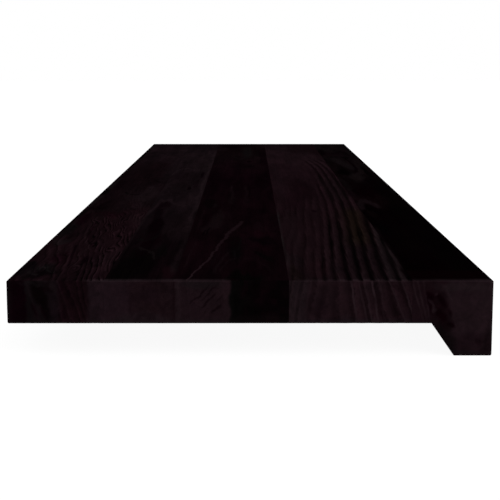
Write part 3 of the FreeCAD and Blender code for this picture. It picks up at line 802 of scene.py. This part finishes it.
class Nodes:
    """Short calls for laying out a material's nodes."""

    def __init__(self, tree):
        self.tree = tree

    def add(self, kind, **settings):
        """A new node with its settings."""
        node = self.tree.nodes.new(kind)
        for name, value in settings.items():
            setattr(node, name, value)
        return node

    def feed(self, node, inputs):
        """Links sockets to a node's inputs, or sets the inputs to plain values."""
        for key, value in inputs.items():
            if isinstance(value, bpy.types.NodeSocket):
                self.tree.links.new(value, node.inputs[key])
            else:
                node.inputs[key].default_value = value

    def math(self, operation, *values, clamp=False):
        """The result of a math node."""
        node = self.add("ShaderNodeMath", operation=operation, use_clamp=clamp)
        self.feed(node, dict(enumerate(values)))
        return node.outputs[0]

    def ramp(self, value, *stops):
        """A curve through the stops: pairs of a place and a level, both from 0 to 1."""
        node = self.add("ShaderNodeValToRGB")
        elements = node.color_ramp.elements
        while len(elements) < len(stops):
            elements.new(0.5)
        for element, (place, level) in zip(elements, stops):
            element.position = place
            element.color = (level, level, level, 1)
        self.feed(node, {"Fac": value})
        return node.outputs["Color"]

    def grain(self, place, scale, detail, roughness=0.55):
        """Noise stretched by a scale on each axis."""
        stretched = self.add("ShaderNodeVectorMath", operation="MULTIPLY")
        self.feed(stretched, {0: place, 1: scale})
        node = self.add("ShaderNodeTexNoise")
        self.feed(node, {"Vector": stretched.outputs[0], "Scale": 1})
        self.feed(node, {"Detail": detail, "Roughness": roughness})
        return node.outputs[0]

    def about(self, value, gain, level):
        """The level, raised or lowered by the noise about its middle."""
        return self.math("MULTIPLY_ADD", self.math("SUBTRACT", value, 0.5), gain, level)

    def attribute(self, name, output="Fac"):
        """What the mesh holds for each vertex under a name."""
        node = self.add("ShaderNodeAttribute", attribute_type="GEOMETRY", attribute_name=name)
        return node.outputs[output]


# The brightness across one growth ring: places from 0 to 1, and levels of up to PEAK times the
# stain's colour. In RIPPLE and RIDGE the bright crest beside a dark line is partly the grain's own
# colour and partly painted highlight and shade of the raised ring.
RIPPLE = [
    (0, 0.16), (0.06, 0.26), (0.17, 1.2), (0.28, 2), (0.4, 1.7), (0.62, 1.05), (0.88, 0.85), (1, 0.16)
]
RIDGE = [
    (0, 0.14), (0.13, 0.24), (0.25, 0.9), (0.35, 1.95), (0.48, 1.65), (0.7, 1.15), (0.86, 0.5), (1, 0.14)
]
CURL = [
    (0, 0.45), (0.1, 0.55), (0.25, 1), (0.4, 1.4), (0.55, 1.45), (0.75, 1.1), (0.9, 0.75), (1, 0.45)
]
PEAK = 2
BUMP_HEIGHT = 0.15 * MM
# The pale lines: how far to each side they reach, and their colour.
VEIN_REACH = 0.85
VEIN_COLOUR = (33, 22.5, 26)


def timber(name, profile):
    """Stained wood: the stain on the surface, broken up by fibres, pores and ring lines."""
    material = bpy.data.materials.new(name)
    material.use_nodes = True
    tree = material.node_tree
    shader = tree.nodes["Principled BSDF"]
    n = Nodes(tree)
    place = n.add("ShaderNodeTexCoord").outputs["Object"]
    fibre = n.grain(place, (1300, 20, 1300), 3, 0.6)
    streak = n.grain(place, (420, 8, 420), 3, 0.6)
    pores = n.grain(place, (3800, 90, 3800), 1)
    mottle = n.grain(place, (90, 12, 90), 3, 0.6)
    fleck = n.grain(place, (520, 62, 520), 2)
    ring = n.attribute("ring")
    line = n.attribute("line")
    shaken = n.about(streak, 0.5, n.about(fibre, 0.35, ring))
    cycle = n.math("FRACT", shaken)
    # The ring's profile: the grain's colour, and with RIPPLE and RIDGE partly painted highlight and
    # shade.
    across = n.math("MULTIPLY", n.ramp(cycle, *[(at, level / PEAK) for at, level in profile]), PEAK)
    own = n.add("ShaderNodeTexNoise", noise_dimensions="1D")
    n.feed(own, {"W": n.math("MULTIPLY", shaken, 1.3), "Detail": 0})
    strength = n.math("MULTIPLY", line, n.math("MULTIPLY_ADD", own.outputs[0], 0.8, 0.6), clamp=True)
    swing = n.math("MULTIPLY", n.math("SUBTRACT", across, 1), strength)
    level = n.math("ADD", swing, 1)
    texture = n.about(mottle, 0.5, n.about(streak, 0.6, n.about(fibre, 0.25, 1)))
    texture = n.about(fleck, n.math("MULTIPLY_ADD", line, 1.1, 0.1), texture)
    level = n.math("MULTIPLY", level, texture)
    pore = n.ramp(pores, (0, 0), (0.34, 0), (0.42, 1), (1, 1))
    level = n.math("MULTIPLY", level, n.math("MULTIPLY_ADD", pore, 0.3, 0.7))
    level = n.math("MAXIMUM", level, 0.08)
    tint = n.add("ShaderNodeVectorMath", operation="SCALE")
    n.feed(tint, {0: n.attribute("tint", "Color"), "Scale": level})
    vein = n.math("ABSOLUTE", n.about(streak, 0.8, n.attribute("vein")))
    vein = n.math("SUBTRACT", 1, n.math("DIVIDE", vein, VEIN_REACH), clamp=True)
    vein = n.math("MULTIPLY", n.math("MULTIPLY", vein, 1.7, clamp=True), n.attribute("vein_on"))
    pale = n.add("ShaderNodeMix", data_type="RGBA")
    n.feed(pale, {"Factor": vein, "A": tint.outputs[0], "B": (*linear(VEIN_COLOUR), 1)})
    n.feed(shader, {"Base Color": pale.outputs["Result"], "Specular IOR Level": 0})
    rough = n.math("MULTIPLY_ADD", fibre, 0.2, 0.62)
    n.feed(shader, {"Roughness": n.math("MULTIPLY_ADD", swing, -0.08, rough)})
    height = n.math("MULTIPLY_ADD", pore, 0.4, fibre)
    height = n.math("MULTIPLY_ADD", swing, 1.5, height)
    bump = n.add("ShaderNodeBump")
    n.feed(bump, {"Strength": 0.4, "Distance": BUMP_HEIGHT, "Height": height})
    n.feed(shader, {"Normal": bump.outputs["Normal"]})
    return material


# The painted highlight along the arris at the top of each end, how strongly from back to front, and
# the weaker painted highlight along the ends' lower edge.
ARRIS_HIGHLIGHT = (33, 24, 27.5)
ARRIS_HIGHLIGHT_PLACES = [-104, -97, -92, -68, -62, -52, -46, -36, -30, 125, 135]
ARRIS_HIGHLIGHT_LEVELS = [0.3, 0.5, 0.8, 0.75, 0.5, 0.5, 0.7, 0.7, 0.5, 0.5, 0.65]
LOW_EDGE_HIGHLIGHT = (23, 16.5, 19)
# Depths of the relief: of a ring that shows fully, and of the surface's slow waves.
RING_RELIEF = 0.16
WAVE_RELIEF = 0.02

# Each stave with what draws its figure and the profile of its rings.
STAVES = [
    ("back_stave", figure_back, RIPPLE),
    ("back_inner_stave", figure_back_inner, CURL),
    ("middle_stave", figure_middle, CURL),
    ("front_inner_stave", figure_front_inner, RIDGE),
    ("nosing_stave", figure_nosing, CURL),
]


def new_object(name, data):
    """An object of that name in the scene."""
    item = bpy.data.objects.new(name, data)
    bpy.context.scene.collection.objects.link(item)
    return item


def paint_arris_light(w, colour):
    """Paints a highlight along the top arris of each end, a weaker one along its lower edge, and a shade
    line just behind the top.
    """
    # worn: where the painted arris highlights and the painted shade line show, from back to front.
    worn = np.interp(w.wx, [-104, -100, -16, -12, 27, 33], [0.15, 1, 1, 0, 0, 1])
    worn *= 0.85 + 0.3 * noise(72, (w.x, 14), (w.y, 14))
    to_end = HALF_LENGTH - np.abs(w.y)
    # A painted shade line on the top, a few millimetres behind each end's arris.
    dark = rise(to_end, 9, -3) * (1 - rise(to_end, 4.6, -1.4)) * (1 - w.end)
    colour = colour * (1 - 0.3 * worn * dark)[:, None]
    # The painted highlight along the arris at the top of each end.
    arris_glint = smooth((1.5 - np.maximum(1.6 * w.depth, 0.2 * to_end)) / 0.7)
    strength = np.interp(w.x, ARRIS_HIGHLIGHT_PLACES, ARRIS_HIGHLIGHT_LEVELS)
    colour = blended(colour, ARRIS_HIGHLIGHT, strength * worn * arris_glint)
    # A weaker painted highlight along the lower edge of each end.
    low = rise(w.height, 3.6, -1.5) * w.end * worn
    return blended(colour, LOW_EDGE_HIGHLIGHT, 0.5 * low)


def add_stave(node, figure, profile):
    """Builds a stave in place of its CAD solid and gives it its figure and finish."""
    low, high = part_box(node)
    if node == "nosing_stave":
        board_low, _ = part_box("back_stave")
        section = Nosing(low, high, board_low.z / MM)
    else:
        section = Board(low, high)
    points, normals, faces = stave_mesh(section)
    w = Wood(points, normals)
    figure(w)
    blend = np.maximum(w.end, smooth(2 * w.end_arris))
    colour = paint_arris_light(w, blended(w.face, w.butt, blend))
    crest = 0.5 + 0.5 * np.cos(2 * np.pi * w.ring)
    waves = 1 + noise(71, (w.x, 9), (w.y, 60), (w.z, 9))
    depth = w.line * crest * RING_RELIEF + WAVE_RELIEF * waves
    depth *= 1 - 0.7 * blend
    points = points - normals * depth[:, None]
    mesh = bpy.data.meshes.new(node + "_wood")
    mesh.from_pydata((points * MM).tolist(), [], faces)
    mesh.update()
    for name in ("ring", "line", "vein", "vein_on"):
        store = mesh.attributes.new(name, "FLOAT", "POINT")
        store.data.foreach_set("value", getattr(w, name).astype(np.float32))
    tint = np.concatenate([linear(colour), np.ones((len(colour), 1))], 1)
    store = mesh.color_attributes.new(name="tint", type="FLOAT_COLOR", domain="POINT")
    store.data.foreach_set("color", tint.astype(np.float32).ravel())
    mesh.shade_smooth()
    mesh.set_sharp_from_angle(angle=SHARP_ANGLE)
    piece = new_object(node + "_timber", mesh)
    mesh.materials.append(timber(node + "_finish", profile))
    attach(piece, "root")
    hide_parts(node)


# The floor in metres, its grey and how far it glows for the camera, and the sky's light.
FLOOR_HALF, FLOOR_DROP = 8, 0.0002
FLOOR_GREY = (0.86, 0.86, 0.86, 1)
FLOOR_GLOW, GLOW_SHARE = 1.06, 0.88
WHITE = (1, 1, 1, 1)
SKY_LEVEL = 0.62


def seen_direct(n):
    """1 for rays from the camera, a mirror or glass, which see the plain white studio."""
    path = n.add("ShaderNodeLightPath")
    direct = n.math("MAXIMUM", path.outputs["Is Camera Ray"], path.outputs["Is Glossy Ray"])
    return n.math("MAXIMUM", direct, path.outputs["Is Transmission Ray"])


def add_floor():
    """A pale floor, white to the camera apart from the soft shadow of the tread."""
    corners = [(x * FLOOR_HALF, y * FLOOR_HALF, 0) for x, y in ((-1, -1), (1, -1), (1, 1), (-1, 1))]
    mesh = bpy.data.meshes.new("floor")
    mesh.from_pydata(corners, [], [(0, 1, 2, 3)])
    floor = new_object("floor", mesh)
    floor.location.z = -FLOOR_DROP
    material = bpy.data.materials.new("pale_floor")
    material.use_nodes = True
    tree = material.node_tree
    tree.nodes.clear()
    n = Nodes(tree)
    matt = n.add("ShaderNodeBsdfDiffuse")
    n.feed(matt, {"Color": FLOOR_GREY})
    glow = n.add("ShaderNodeEmission")
    n.feed(glow, {"Strength": FLOOR_GLOW})
    mixed = n.add("ShaderNodeMixShader")
    glow_share = n.math("MULTIPLY", seen_direct(n), GLOW_SHARE)
    n.feed(mixed, {0: glow_share, 1: matt.outputs[0], 2: glow.outputs[0]})
    clear = n.add("ShaderNodeBsdfTransparent")
    from_below = n.add("ShaderNodeMixShader")
    below = n.add("ShaderNodeNewGeometry").outputs["Backfacing"]
    n.feed(from_below, {0: below, 1: mixed.outputs[0], 2: clear.outputs[0]})
    n.feed(n.add("ShaderNodeOutputMaterial"), {"Surface": from_below.outputs[0]})
    mesh.materials.append(material)


def add_world():
    """Even studio light all round, seen as white."""
    world = bpy.data.worlds.new("studio")
    bpy.context.scene.world = world
    world.use_nodes = True
    tree = world.node_tree
    background = tree.nodes["Background"]
    n = Nodes(tree)
    level = n.math("MULTIPLY_ADD", seen_direct(n), 1 - SKY_LEVEL, SKY_LEVEL)
    n.feed(background, {"Color": WHITE, "Strength": level})


def add_lamp(name, toward, spread, power):
    """A broad, soft studio light from one side, even over the whole length."""
    lamp = bpy.data.lights.new(name, "SUN")
    lamp.angle = math.radians(spread)
    lamp.energy = power
    item = new_object(name, lamp)
    item.rotation_mode = "QUATERNION"
    item.rotation_quaternion = Vector(toward).to_track_quat("Z", "Y")


# The camera, in metres and degrees.
LENS = 88.80
CAMERA_PLACE = (-0.00102, -1.34581, 0.18353)
CAMERA_DIP = 8.916
CAMERA_TURN = -0.078


def add_camera():
    """The photograph's view: square on to the near end, from a little above the walking face."""
    camera = bpy.data.cameras.new("photo_view")
    camera.sensor_width = 36
    camera.lens = LENS
    item = new_object("photo_view", camera)
    item.location = CAMERA_PLACE
    item.rotation_euler = (math.radians(90 - CAMERA_DIP), 0, math.radians(CAMERA_TURN))
    bpy.context.scene.camera = item


for node, figure, profile in STAVES:
    add_stave(node, figure, profile)
add_floor()
add_world()
add_lamp("key_light", toward=(0.45, -0.55, 0.7), spread=50, power=1.4)
add_lamp("fill_light", toward=(-0.7, 0.3, 0.65), spread=70, power=0.5)
add_camera()
bpy.context.scene.view_settings.view_transform = "Standard"
